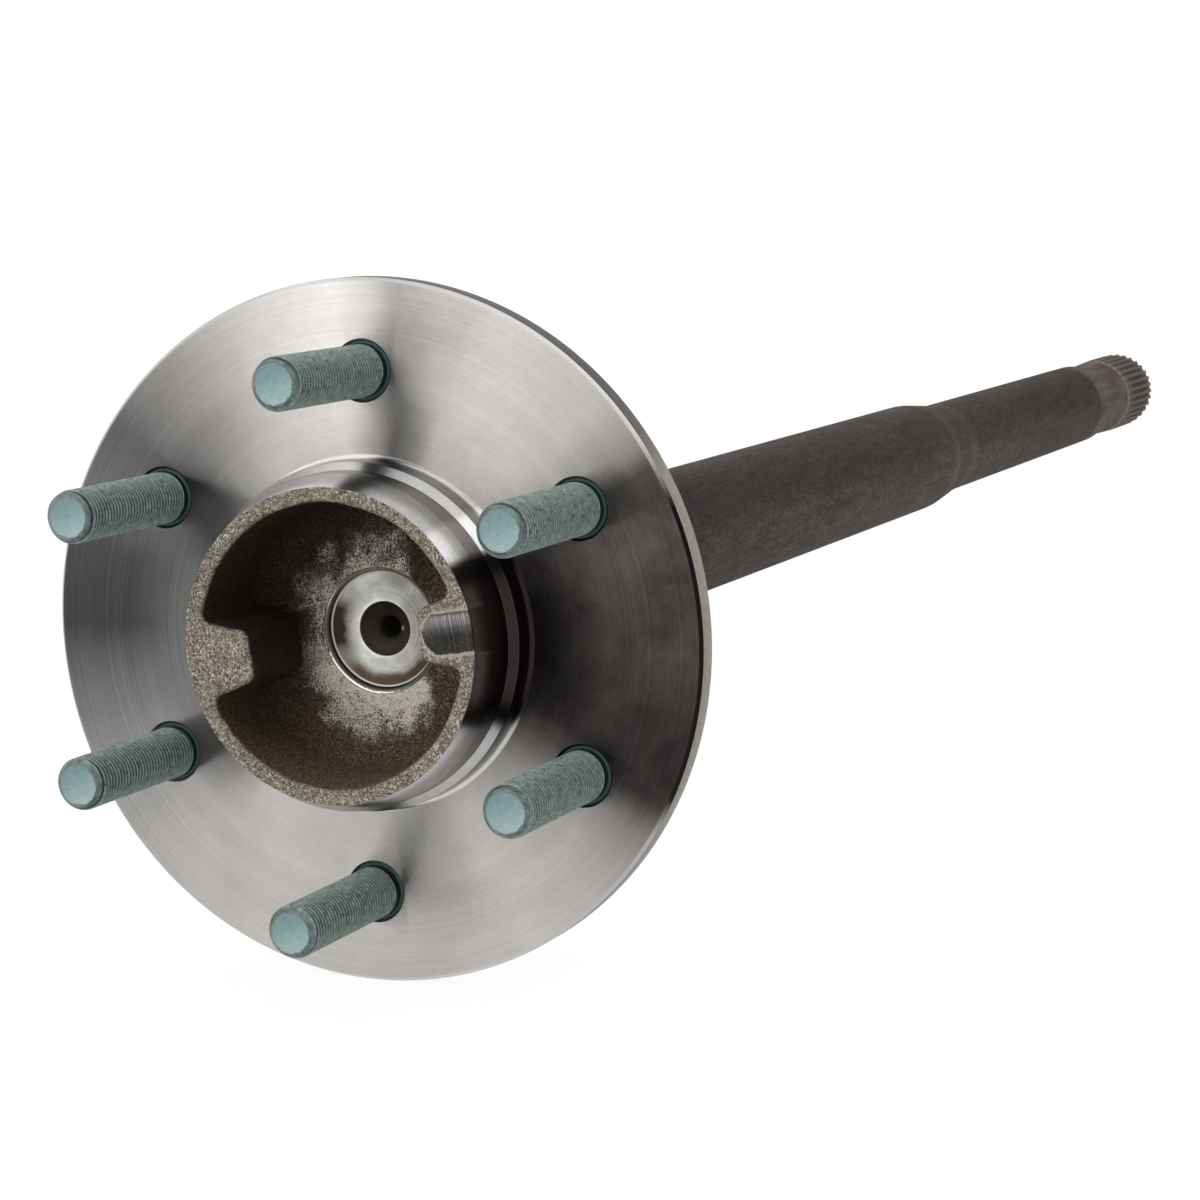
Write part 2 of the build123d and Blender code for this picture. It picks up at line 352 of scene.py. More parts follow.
outline = [(flange["rim"], flange["front"]), (flange["pilot"], flange["noseEnd"]),
           (flange["pilot"], flange["pilotEnd"]), (flange["register"], flange["registerStart"])]
outline += arc((flange["register"] + flange["relief"], -flange["relief"]), flange["relief"], 180, 90,
               flange["reliefSteps"])
outline += [(flange["edge"] - flange["chamfer"], 0), (flange["edge"], flange["chamfer"]),
            (flange["edge"], flange["thickness"] - flange["chamfer"]),
            (flange["edge"] - flange["chamfer"], flange["thickness"]),
            (flange["backStart"], flange["thickness"]),
            (flange["bore"], flange["front"] + flange["boreStart"]), (flange["rim"], flange["front"])]
body = lathe(outline, flange["steps"])
breakEdges(body, flange["rounds"])
padTurn = radians(pad["turn"])
for vert in body.verts:
    across = abs(vert.co.z * cos(padTurn) - vert.co.x * sin(padTurn))
    if vert.co.x > 0 and across < pad["half"] * mm:
        vert.co.y = max(vert.co.y, (flange["front"] + pad["noseDepth"]) * mm)
wheelFlange = makePiece("wheelFlange", body, flangeFinish(), "axle_shaft",
                        smooth=flange["smooth"])


# where a stud stands, across and up
def studPlace(number):
    angle = radians(90 + number * 360 / studs["count"])
    return studs["circle"] * cos(angle), studs["circle"] * sin(angle)


# the six stud holes, each with a small lead
cutter = bmesh.new()
hole = [(0, -1), (studs["hole"] + studs["lead"] + 1, -1), (studs["hole"], studs["lead"]),
        (studs["hole"], flange["thickness"] + 2), (0, flange["thickness"] + 2)]
for number in range(studs["count"]):
    across, up = studPlace(number)
    part = lathe(hole, studs["holeSteps"])
    bmesh.ops.translate(part, verts=part.verts, vec=(across * mm, 0, up * mm))
    data = toData("hole", part)
    cutter.from_mesh(data)
    bpy.data.meshes.remove(data)
drill = bpy.data.objects.new("drill", toData("drill", cutter))
bpy.context.scene.collection.objects.link(drill)
cut = wheelFlange.modifiers.new("studHoles", "BOOLEAN")
cut.object = drill
cut.solver = "EXACT"
drilled = wheelFlange.evaluated_get(bpy.context.evaluated_depsgraph_get())
drilledData = bpy.data.meshes.new_from_object(drilled)
wheelFlange.modifiers.clear()
wheelFlange.data = drilledData
wheelFlange.data.set_sharp_from_angle(angle=radians(flange["smooth"]))
bpy.data.objects.remove(drill)

print("cup")
cup = {
    "front": flange["front"], "rim": flange["rim"], "turn": pad["turn"],
    "floor": 7.5, "mouth": 37.6, "draft": 3.0, "bowl": 9.0, "lip": 1.5,
    "halfTip": 6.5, "flare": 16.5, "lugDraft": 1.5, "corner": 3.0, "cornerEase": 0.8,
    "root": 2.5, "foot": 3.0, "footStart": 5.0, "blend": 2.0, "shortTip": 26.2, "longTip": 23.0,
    "recess": 16.6, "tipSteps": 10, "cornerSteps": 6, "flankSteps": 18, "rootSteps": 6, "wallSteps": 150,
    "rimRows": 18, "lipRows": 4, "wallRows": 42, "floorRows": 40, "floorCrowd": 1.25,
    "grain": 0.16, "grainSize": 0.8, "waves": 0.3, "wavesSize": 9.0, "fade": 0.8,
}
flareAngle = radians(cup["flare"])
along, away = Vector((cos(flareAngle), sin(flareAngle))), Vector((-sin(flareAngle), cos(flareAngle)))


# the corner of a lug's tip at a depth, moved out into the metal by some amount
def lugSize(tip, depth, out):
    grow = (depth - cup["front"]) * tan(radians(cup["lugDraft"])) - out
    return Vector((tip - grow, cup["halfTip"] + grow))


def wallRadius(depth):
    return cup["mouth"] - (depth - cup["front"]) * tan(radians(cup["draft"]))


def angleOf(p):
    return -Vector((1, 0)).angle_signed(p)


# half of a lug's outline, from the middle of its tip to the cup's wall
def halfLug(tip, depth, out):
    corner = lugSize(tip, depth, out)
    bend, root = cup["corner"] - cup["cornerEase"] * out, cup["root"] + out
    cut = bend / tan(radians(90 + cup["flare"]) / 2)
    wall = wallRadius(depth) + out
    seat = corner + root * away
    run = -seat.dot(along) + sqrt(seat.dot(along) ** 2 - seat.length_squared + (wall - root) ** 2)
    centre = seat + run * along
    points = [Vector((corner.x, (corner.y - cut) * i / cup["tipSteps"])) for i in range(cup["tipSteps"])]
    tipRound = arc((corner.x + bend, corner.y - cut), bend, 180, 90 + cup["flare"], cup["cornerSteps"])
    points += [Vector(p) for p in tipRound]
    start, end = corner + cut * along, corner + run * along
    points += [start.lerp(end, i / cup["flankSteps"]) for i in range(1, cup["flankSteps"])]
    wallAngle = angleOf(centre) * 180 / pi
    points += [Vector(p) for p in arc(centre, root, cup["flare"] - 90, wallAngle, cup["rootSteps"])]
    return points


# the whole outline of the hollow at a depth
def cupLoop(depth, out=0.0):
    short, long = halfLug(cup["shortTip"], depth, out), halfLug(cup["longTip"], depth, out)
    long = [Vector((-p.x, p.y)) for p in reversed(long)]
    wall = wallRadius(depth) + out
    start, end = angleOf(short[-1]), angleOf(long[0])
    angles = [start + (end - start) * i / cup["wallSteps"] for i in range(1, cup["wallSteps"])]
    upper = short + [wall * Vector((cos(a), sin(a))) for a in angles] + long
    return upper + [Vector((p.x, -p.y)) for p in reversed(upper[1:-1])]


# each point's way round the loop as a share of half of it
def shares(loop):
    half = len(loop) // 2
    lengths = [0.0]
    for a, b in zip(loop[:half], loop[1:half + 1]):
        lengths.append(lengths[-1] + (b - a).length)
    upper = [length / lengths[-1] for length in lengths]
    return upper + [-s for s in reversed(upper[1:-1])]


# the floor's depth at a distance from a wall whose foot is rounded
def roundFoot(distance, radius):
    short = max(radius - max(distance, 0), 0)
    return cup["floor"] - radius + sqrt(radius * radius - short * short)


# the forged floor's depth at a place of the hollow, with its bowl and the feet of the lugs
def floorDepth(p):
    bowl = roundFoot(wallRadius(cup["floor"] - cup["bowl"]) - p.length, cup["bowl"])
    corner = lugSize(cup["shortTip"] if p.x > 0 else cup["longTip"], cup["floor"] - cup["foot"], 0)
    beside = Vector((abs(p.x), abs(p.y)))
    ahead, aside = corner.x - beside.x + cup["corner"], (beside - corner).dot(away) + cup["corner"]
    lug = roundFoot(hypot(max(ahead, 0), max(aside, 0)) - cup["corner"], cup["foot"])
    near = max(cup["blend"] - abs(bowl - lug), 0) / cup["blend"]
    return min(bowl, lug) - near * near * cup["blend"] / 4


# how far the ground pad on the short lug lies below the rim
def padSink(p):
    inside = min(p.x - pad["start"] - p.y * p.y * pad["bow"], pad["half"] - abs(p.y))
    ragged = pad["ragged"] * noise.noise(Vector((p.x, p.y, 0)) / pad["raggedSize"])
    return pad["depth"] * min(1, max(0, inside / pad["slope"] + ragged))


def placed(p, depth):
    a = radians(cup["turn"])
    return Vector((p.x * cos(a) - p.y * sin(a), depth, p.x * sin(a) + p.y * cos(a))) * mm


# the rim's outer edge, with its points spread evenly behind the lugs
mouthLoop = cupLoop(cup["front"], cup["lip"])
mouthShares = shares(mouthLoop)
onLug = cup["tipSteps"] + cup["cornerSteps"] + cup["flankSteps"] + cup["rootSteps"]
half = len(mouthLoop) // 2
rimLoop = []
for index, p in enumerate(mouthLoop):
    step = min(index, len(mouthLoop) - index)
    side = 1 if index <= half else -1
    turn = angleOf(p)
    if step < onLug:
        turn = side * angleOf(mouthLoop[onLug]) * mouthShares[step] / mouthShares[onLug]
    elif step > half - onLug:
        rest = (1 - mouthShares[step]) / (1 - mouthShares[half - onLug])
        turn = side * (pi - (pi - angleOf(mouthLoop[half - onLug])) * rest)
    rimLoop.append(Vector((cos(turn), sin(turn))) * cup["rim"])

# rows of points: in over the rim, round the lip, down the wall and over the floor to the recess
rows = []
for i in range(1, cup["rimRows"]):
    spots = [a.lerp(b, i / cup["rimRows"]) for a, b in zip(rimLoop, mouthLoop)]
    rows.append([(p, cup["front"] + padSink(p)) for p in spots])
for i in range(cup["lipRows"] + 1):
    a = radians(90 * i / cup["lipRows"])
    out, down = cup["lip"] * (1 - sin(a)), cup["lip"] * (1 - cos(a))
    rows.append([(p, cup["front"] + down) for p in cupLoop(cup["front"] + down, out)])
footLoop = cupLoop(cup["floor"] - cup["footStart"])
wallStart, wallEnds = cup["front"] + cup["lip"], [floorDepth(p) for p in footLoop]
for i in range(1, cup["wallRows"] + 1):
    loops, row = {}, []
    for index, end in enumerate(wallEnds):
        depth = wallStart + (end - wallStart) * i / cup["wallRows"]
        key = round(depth, 1)      # one outline serves all the depths within a tenth
        if key not in loops:
            loops[key] = cupLoop(depth)
        row.append((loops[key][index], depth))
    rows.append(row)
wallFoot = [p for p, depth in rows[-1]]
recessLoop = [Vector((cos(pi * s), sin(pi * s))) * cup["recess"] for s in shares(footLoop)]
for i in range(1, cup["floorRows"] + 1):
    t = (i / cup["floorRows"]) ** cup["floorCrowd"]
    spots = [a.lerp(b, t) for a, b in zip(wallFoot, recessLoop)]
    rows.append([(p, floorDepth(p) if i < cup["floorRows"] else cup["floor"]) for p in spots])

hollow = bmesh.new()
ring = bmesh.ops.create_circle(hollow, segments=len(mouthLoop), radius=1)["verts"]
for vert, p in zip(ring, rimLoop):
    vert.co = placed(p, cup["front"])
for row in rows:
    ring = growRing(hollow, ring, [placed(p, depth) for p, depth in row])
bmesh.ops.recalc_face_normals(hollow, faces=hollow.faces)
# the forged skin: waves and grain, fading out at the outer edge and at the recess
hollow.normal_update()
for vert in hollow.verts:
    reach = hypot(vert.co.x, vert.co.z) / mm
    fade = min(1, max(0, cup["rim"] - reach) / cup["fade"], max(0, reach - cup["recess"]) / cup["fade"])
    waves = noise.noise(vert.co / (cup["wavesSize"] * mm)) * cup["waves"]
    grain = noise.noise(vert.co / (cup["grainSize"] * mm)) * cup["grain"]
    vert.co += vert.normal * (waves + grain) * fade * mm


def blastedFinish():
    f = Finish("shotBlastedForging")
    grain, fine = f.place.noise(0.75, 3.0, 0.75), f.place.noise(0.38, 2.0, 0.6)
    spots, cloud = f.place.noise(5.0, 3.0, 0.6), f.place.noise(8.0, 3.0, 0.6, 0.5)
    speckle = grain * 0.5 + fine * 0.5
    lugTurn = radians(cup["turn"])
    out = f.x * cos(lugTurn) + f.z * sin(lugTurn)
    side = f.z * cos(lugTurn) - f.x * sin(lugTurn)
    onRim = 1 - f.y.rise(cup["front"] + 0.2, cup["front"] + cup["lip"])
    light = speckle.ramp((0.38, (0.075, 0.06, 0.045)), (0.46, (0.22, 0.19, 0.148)),
                         (0.54, (0.42, 0.375, 0.305)), (0.63, (1.0, 0.93, 0.8)))
    light = light.vary(spots, 0.8)
    wall = speckle.ramp((0.38, (0.028, 0.017, 0.01)), (0.52, (0.115, 0.08, 0.052)),
                        (0.64, (0.4, 0.31, 0.22)))
    # painted shade: the wall is darkest at the upper left; painted light: the floor is lightest below the
    # recess
    shade = f.turn.ramp((0, 0.28), (0.1, 0.6), (0.2, 1.15), (0.35, 1.2), (0.46, 1.1), (0.58, 1.0),
                        (0.66, 0.5), (0.8, 0.26), (1, 0.28), blend="EASE")
    low = f.turn.ramp((0, 0.38), (0.1, 0.72), (0.17, 1.32), (0.36, 1.5), (0.42, 0.75), (0.5, 0.45),
                      (0.6, 0.5), (0.7, 0.6), (0.85, 0.42), (1, 0.42), blend="EASE")
    spread = cloud.ramp((0.38, 0.55), (0.6, 1.25))
    halo = (1 - (f.radius + spots.swing(10)).rise(15.0, 35.0)) * spread * low * f.y.rise(1.0, 5.0)
    besideLug = (out + spots.swing(6)).rise(8.0, 14.0)
    halo = (halo * (1 - 0.92 * besideLug)).least(1.0)
    # light grains on the dark skin, the closer to the recess the denser
    grains = f.place.noise(0.36, 1.0, 0.5) * 0.7 + f.place.noise(1.7, 3.0, 0.7) * 0.3
    bed = (grains + halo * 0.24).ramp((0.42, (0.04, 0.029, 0.023)), (0.5, (0.11, 0.09, 0.076)),
                                      (0.58, (0.34, 0.295, 0.25)), (0.66, (0.82, 0.75, 0.67)),
                                      (0.74, (1.0, 0.95, 0.87)))
    inside = halo.rise(0.05, 0.4).mix(wall.tint(shade), bed)
    # a painted highlight: a bright edge round the recess, thickest below
    thick = f.turn.ramp((0, 0.45), (0.12, 0.8), (0.25, 1.1), (0.36, 0.9), (0.5, 0.3), (0.75, 0.5),
                        (1, 0.45), blend="EASE")
    lit = 1 - (f.radius - cup["recess"] - thick * 0.6).rise(-0.12, 0.12)
    lit = lit * f.y.rise(cup["floor"] - 1, cup["floor"] - 0.5)
    inside = (lit * 0.9).mix(inside, (0.95, 0.92, 0.86))
    # painted shade on the flank of the long lug that looks inwards, which is darker
    lugFlankPaintedShade = (1 - out.rise(1.5 - cup["longTip"], 6 - cup["longTip"])) * side.band(-8.0, 8.0, 1.0)
    color = onRim.mix(inside.tint(1 - 0.5 * lugFlankPaintedShade), light)
    # the ground pad, scratched across the lug, with a ragged edge
    ragged = spots.swing(2.6) + grain.swing(2.4)
    fromTip = out - (pad["start"] - 0.2) - side * side * pad["bow"] + ragged
    inwards = fromTip.least(pad["half"] - 0.2 - abs(side) + ragged * 0.5)
    onPad = onRim * inwards.rise(-0.15, 0.35)
    ridge = onRim * inwards.band(-0.9, 0.1, 0.3)
    scratch = (out + side * 0.04 + spots * 0.8).lines(0.5, 4.0, 0.75)
    # painted light across the pad: a painted highlight on its upper part, painted shade on its lower part
    ground = (side / 16 + 0.5).ramp((0.1, 0.12), (0.2, 0.034), (0.45, 0.034), (0.56, 0.09), (0.66, 0.22),
                                    (0.75, 0.3), (0.84, 0.12), blend="EASE")
    ground = ground.tint(scratch.ramp((0.36, 0.5), (0.5, 0.9), (0.66, 1.9))).tint((1, 0.96, 0.94))
    color = onPad.mix((ridge * 0.5).mix(color, (0.8, 0.76, 0.66)), ground)
    normal = ((grain + 0.5 * fine) * (1 - onPad) * (1 - lit) + scratch * 0.5 * onPad).bump(0.9, 0.45)
    metallic = 0.2 + 0.6 * onPad + (halo * 0.55 + lit * 0.8) * (1 - onRim)
    return f.shader(color, 0.55 + 0.2 * fine - 0.2 * onPad - 0.35 * lit, metallic, normal, gloss=0.25)


makePiece("hubCup", hollow, blastedFinish(), "axle_shaft", smooth=60)

print("centre recess")
centre = {"edge": cup["recess"], "floorEdge": 15.8, "top": cup["floor"], "floor": 9.2,
          "mouth": 7.4, "mouthDepth": 9.7, "drill": 3.0, "drillStart": 13.51, "drillEnd": 20.51,
          "point": 22.3, "steps": 128, "rounds": 0.25}


def recessFinish():
    f = Finish("turnedRecess")
    rings = f.radius.lines(0.45, 3.0, 0.6)
    cloud = f.place.noise(6.0, 3.0, 0.6, 0.6)
    across = f.radius / 17
    # the drill hole, painted black as painted shade, its cone and the dish round them, with a painted
    # highlight round the cone
    dish = across.ramp((0.0, 0.002), (0.165, 0.003), (0.18, 0.07), (0.3, 0.1), (0.42, 0.07), (0.432, 0.12),
                       (0.445, 0.7), (0.5, 0.5), (0.7, 0.46), (0.86, 0.52)).vary(cloud, 1.2)
    inCone = 1 - f.radius.rise(centre["mouth"] - 0.2, centre["mouth"] + 0.1)
    # painted shade in the cone, darker towards the top
    conePaintedShade = 1.3 - f.z.rise(-7.5, 7.5) * 0.9 + f.radius.lines(0.6, 3.0, 0.7).swing(0.9)
    dish = inCone.mix(dish, dish.tint(conePaintedShade))
    # a soft dark patch to the left as painted shade, a brown crescent below and a fainter one above
    left = f.turn.ramp((0, 1), (0.05, 1), (0.1, 0.4), (0.14, 0), (0.84, 0), (0.9, 0.5), (0.94, 1), (1, 1))
    patch = left * (f.radius + cloud.swing(6)).rise(8.2, 12.5)
    below = f.turn.band(0.1, 0.45, 0.06) * (f.radius + cloud.swing(5)).rise(10.5, 14.0)
    above = f.turn.band(0.66, 0.74, 0.03) * (f.radius + cloud.swing(6)).rise(11.0, 13.5)
    dish = patch.mix(dish, (0.03, 0.024, 0.02))
    dish = below.mix(dish, (0.075, 0.055, 0.04))
    dish = (above * 0.5).mix(dish, (0.1, 0.09, 0.08))
    # the steep wall: painted shade, black to the left and below, with a painted reflection as a bright line
    # inside it
    dark = f.turn.ramp((0, 1), (0.3, 1), (0.42, 0.3), (0.55, 0.15), (0.8, 0.2), (0.92, 0.9), (1, 1))
    ring = across.ramp((0.89, 0.22), (0.9, 0.4), (0.918, 0.4), (0.926, 0.03), (0.943, 0.03), (0.95, 0.16),
                       (0.966, 0.25), (0.974, 1.0))
    ring = dark.mix((0.5, 0.48, 0.45), ring)
    onRing = f.radius.rise(15.1, 15.25)
    around = f.turn.ramp((0, 0.8), (0.1, 1), (0.35, 1), (0.42, 0.35), (0.6, 0.35), (0.75, 0.9),
                         (0.9, 0.8), (1, 0.8))
    color = onRing.mix(dish, ring.tint(around)).tint((1, 0.975, 0.93)).vary(rings, 0.44)
    color = inCone.mix(color, color.tint((1, 0.86, 0.75)))
    # a painted glint beside the drill hole
    glint = f.radius.band(3.4, 4.4, 0.5) * f.turn.band(0.475, 0.515, 0.02)
    color = glint.mix(color, (1.0, 0.86, 0.6))
    # the cone and the steep wall aren't polished
    polished = (1 - inCone) * (1 - f.radius.rise(centre["floorEdge"] - 0.05, centre["floorEdge"] + 0.05))
    rough = 0.5 - 0.3 * polished + 0.12 * rings
    return f.shader(color, rough, polished, f.turned(rings.swing(0.12)), gloss=0.1)


spot = lathe([(centre["edge"], centre["top"]), (centre["floorEdge"], centre["floor"]),
              (centre["mouth"], centre["mouthDepth"]), (centre["drill"], centre["drillStart"]),
              (centre["drill"], centre["drillEnd"]), (0, centre["point"])], centre["steps"])
breakEdges(spot, centre["rounds"])
makePiece("centreRecess", spot, recessFinish(), "axle_shaft")

print("shaft")
shaft = {
    # the forged foot behind the flange, in radius and length
    "foot": [(40.6, 8.0), (39.0, 8.3), (37.2, 9.4), (35.4, 11.2), (34.2, 12.9), (28.9, 21.0), (28.4, 21.6),
             (27.6, 22.0)],
    "seal": 25.0, "sealStart": 22.0, "sealEnd": 44.0, "bearing": 22.5, "bearingEnd": 92.0, "chamfer": 1.0,
    "outer": 21.3, "stepStart": 494.0, "stepEnd": 530.0, "inner": 18.2, "innerEnd": 767.0,
    "wornStart": 750.0, "neck": 17.1, "neckStart": 774.0, "flareStart": 795.0, "flareEnd": 826.0,
    "flareShown": 0.75, "steps": 160,
    # the step down is eased: how far past its start or end, and how far in from outer or out from inner
    "stepBegins": [(-2.6, 0), (0.9, 0.11), (2.6, 0.22)], "stepEnds": [(-0.5, 0.05), (0.5, 0)],
}
spline = {
    "teeth": 33, "outer": 17.99, "root": 16.75, "start": 818.0, "end": 862.0, "hob": 35.0, "flank": 40.0,
    "gapFloor": 0.23, "chamfer": 1.6, "chamferLength": 3.0, "pointsPerTooth": 10,
    "rows": [*range(808, 819), 820, 823, 826, 835, 850, 859, 860.5, 862.0],
    # the end face and its lathe centre, in radius and depth
    "centre": [(10.0, 0), (5.0, 0), (2.0, 5.2), (2.0, 10.2), (0.05, 11.4)],
}


def flareRadius(y):
    run = shaft["flareEnd"] - shaft["flareStart"]
    return shaft["neck"] + (spline["outer"] - shaft["neck"]) * (y - shaft["flareStart"]) / run


def shaftFinish():
    f = Finish("darkForging")
    ground = f.y.band(shaft["sealStart"] + 0.2, shaft["bearingEnd"] - 0.8, 0.2)
    onNeck = f.y.rise(shaft["wornStart"], shaft["wornStart"] + 2)
    # the scale lies along the bar
    drawn = f.base.vector("MULTIPLY", f.place, (1, 0.2, 1))
    cloud, mottle = drawn.noise(14.0, 4.0, 0.6), drawn.noise(4.0, 4.0, 0.7)
    fine = drawn.noise(0.8, 3.0, 0.75)
    forged = (cloud * 0.2 + mottle * 0.3 + fine * 0.5).ramp(
        (0.4, (0.022, 0.0175, 0.015)), (0.5, (0.036, 0.029, 0.0255)), (0.6, (0.06, 0.048, 0.041)))
    # paler where the shaft steps down
    begins = f.y.band(shaft["stepStart"] - 2, shaft["stepStart"] + 6, 3.0)
    ends = f.y.band(shaft["stepEnd"] - 4, shaft["stepEnd"] + 6, 4.0)
    forged = (begins.most(ends) * 0.16).mix(forged, (0.12, 0.1, 0.087)).vary(f.y.lines(6.0, 3.0), 0.14)
    forged = forged.tint((f.y / 900).ramp((0.12, (0.93, 0.95, 1.0)), (0.3, (1.45, 1.5, 1.6)),
                                          (0.55, (1.75, 1.75, 1.75)), (0.75, (1.1, 1.07, 1.03)),
                                          (0.84, (1.0, 0.94, 0.9))))
    # painted light and shade round the shaft: palest along the right side, as a painted reflection of the
    # floor, and darkest just above it
    forged = forged.tint(f.turn.ramp((0, 1.1), (0.369, 1.35), (0.449, 1.6), (0.479, 1.65), (0.505, 1.5),
                                     (0.53, 1.25), (0.555, 1.0), (0.58, 0.86), (0.605, 0.79),
                                     (0.631, 0.81), (0.661, 0.88), (0.695, 1.0), (0.741, 1.2), (1, 1.1)))
    bright = f.y.lines(0.7, 3.0, 0.6).ramp((0.3, 0.3), (0.7, 0.42)).tint((1, 0.985, 0.96)).vary(cloud, 0.3)
    worn = (cloud * 0.5 + mottle * 0.5).ramp((0.4, (0.07, 0.055, 0.046)), (0.6, (0.16, 0.13, 0.115)))
    color = ground.mix(onNeck.mix(forged, worn), bright)
    normal = (mottle * 0.4 + 0.6 * fine).bump(0.2, 0.1)
    return f.shader(color, ground.ramp((0, 0.7), (1, 0.24)), ground, normal, gloss=0.05)


body = shaft["foot"] + [
    (shaft["seal"], shaft["sealStart"]), (shaft["seal"], shaft["sealEnd"] - shaft["chamfer"]),
    (shaft["seal"] - shaft["chamfer"], shaft["sealEnd"]), (shaft["bearing"], shaft["sealEnd"]),
    (shaft["bearing"], shaft["bearingEnd"] - shaft["chamfer"]), (shaft["outer"], shaft["bearingEnd"])]
body += [(shaft["outer"] - inwards, shaft["stepStart"] + past) for past, inwards in shaft["stepBegins"]]
body += [(shaft["inner"] + outwards, shaft["stepEnd"] + past) for past, outwards in shaft["stepEnds"]]
body += [(shaft["inner"], shaft["innerEnd"]), (shaft["neck"], shaft["neckStart"])]
flareRun = (shaft["flareEnd"] - shaft["flareStart"]) * shaft["flareShown"]
flarePlaces = [shaft["flareStart"] + flareRun * i / 6 for i in range(7)]
body += [(flareRadius(y), y) for y in flarePlaces]
makePiece("bareShaft", lathe(body, shaft["steps"]), shaftFinish(), "axle_shaft")

print("spline")


# the radius of the teeth at an angle round the shaft
def toothRadius(turn, root, outer):
    pitchAngle = 2 * pi / spline["teeth"]
    # the way from the middle of a gap, along the arc
    side = abs((turn / pitchAngle) % 1 - 0.5) * pitchAngle * spline["outer"]
    height = max(side - spline["gapFloor"], 0) / tan(radians(spline["flank"]))
    return min(outer, root + height)


def blankRadius(y):
    if y < shaft["flareEnd"]:
        return flareRadius(y)
    over = max(y - (spline["end"] - spline["chamferLength"]), 0)
    return spline["outer"] - over * spline["chamfer"] / spline["chamferLength"]


def splineFinish():
    f = Finish("hobbedSteel")
    chamferStart = spline["end"] - spline["chamferLength"]
    along = (f.y - (spline["end"] - 50)) / 50
    tops = along.ramp((0, (0.13, 0.105, 0.094)), (0.5, (0.1, 0.079, 0.067)), (0.72, (0.1, 0.08, 0.052)),
                      (0.92, (0.19, 0.165, 0.09)))
    gapsPaintedShade = along.ramp((0.05, (0.09, 0.071, 0.062)), (0.3, (0.055, 0.043, 0.036)),
                      (0.6, (0.034, 0.024, 0.016)), (0.95, (0.1, 0.082, 0.045)))
    # painted shade in the gaps between the teeth
    color = (1 - f.radius.rise(17.1, 17.85)).mix(tops.vary(f.place.noise(1.5, 4.0, 0.6), 0.7), gapsPaintedShade)
    # a pale ring before the teeth, and the end with its chamfer
    ring = f.y.band(spline["start"] - 9, spline["start"] - 5, 1.0) * f.radius.rise(17.4, 17.6)
    color = (ring * 0.7).mix(color, (0.3, 0.26, 0.23))
    color = f.y.rise(chamferStart - 0.4, chamferStart + 0.2).mix(color, (0.22, 0.2, 0.13))
    color = f.y.rise(spline["end"] - 0.5, spline["end"] - 0.1).mix(color, (0.26, 0.25, 0.23))
    metallic = f.y.rise(chamferStart - 0.4, spline["end"] - 0.5) * 0.9
    normal = f.place.noise(0.6).bump(0.4, 0.15)
    return f.shader(color, 0.5, metallic, normal, gloss=0.05)


teeth = bmesh.new()
count = spline["teeth"] * spline["pointsPerTooth"]
turns = [2 * pi * i / count for i in range(count)]
ring = bmesh.ops.create_circle(teeth, segments=count, radius=1)["verts"]
start = spline["rows"][0]
for vert, turn in zip(ring, turns):
    r = blankRadius(start) * mm
    vert.co = (r * cos(turn), start * mm, r * sin(turn))
for y in spline["rows"][1:]:
    before = max(spline["start"] - y, 0)
    root = spline["root"] + spline["hob"] - sqrt(spline["hob"] ** 2 - before ** 2)
    reaches = [toothRadius(turn, root, blankRadius(y)) * mm for turn in turns]
    places = [Vector((r * cos(turn), y * mm, r * sin(turn))) for r, turn in zip(reaches, turns)]
    ring = growRing(teeth, ring, places)
for radius, depth in spline["centre"]:
    r, y = radius * mm, (spline["end"] - depth) * mm
    ring = growRing(teeth, ring, [Vector((r * cos(turn), y, r * sin(turn))) for turn in turns])
bmesh.ops.remove_doubles(teeth, verts=teeth.verts, dist=0.002 * mm)
bmesh.ops.recalc_face_normals(teeth, faces=teeth.faces)
makePiece("splineEnd", teeth, splineFinish(), "axle_shaft", smooth=28)

print("studs")


